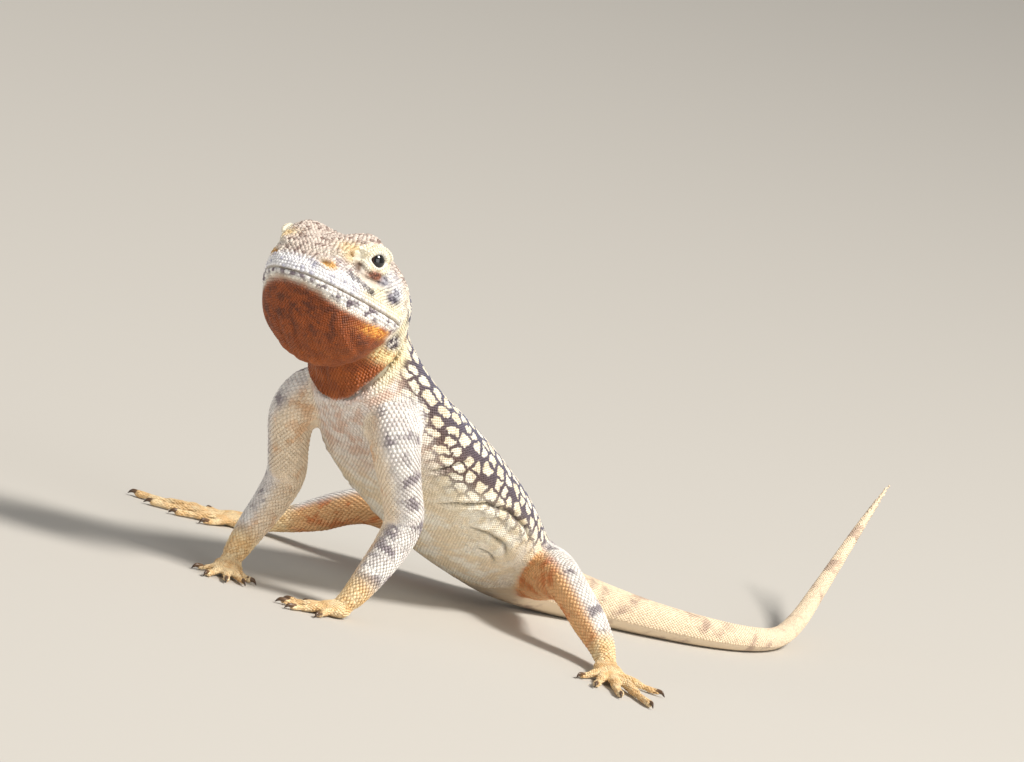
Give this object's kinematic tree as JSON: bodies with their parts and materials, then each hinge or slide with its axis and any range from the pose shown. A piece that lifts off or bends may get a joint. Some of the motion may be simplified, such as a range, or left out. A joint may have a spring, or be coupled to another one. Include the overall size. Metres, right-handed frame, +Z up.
{
  "type": "central netted dragon, still life-size model",
  "caption": "Life-size still model of a central netted dragon, alert on straight forelegs with its head raised and its rear body, hind feet and tail on the floor.",
  "frame": {"origin": "middle of the underside of the whole animal's box, on the floor it rests on", "axes": "+Z up; the head points to -Y and the tail to +Y; the animal's left side is towards +X"},
  "size_m": [0.1084, 0.1868, 0.0595],
  "materials": {
    "skin": "dry, finely scaled reptile skin, cream netted with dark brown",
    "eye": "wet gloss, dark brown with a black pupil",
    "claw": "smooth dark horn"
  },
  "bodies": {
    "root": {"head": "skin", "left_eye": "eye", "right_eye": "eye", "neck": "skin", "torso": "skin", "tail_base": "skin", "tail_middle": "skin", "tail_end": "skin", "left_upper_arm": "skin", "left_forearm": "skin", "left_forefoot": "skin", "right_upper_arm": "skin", "right_forearm": "skin", "right_forefoot": "skin", "left_thigh": "skin", "left_shin": "skin", "left_hindfoot": "skin", "right_thigh": "skin", "right_shin": "skin", "right_hindfoot": "skin"}
  },
  "joints": []
}
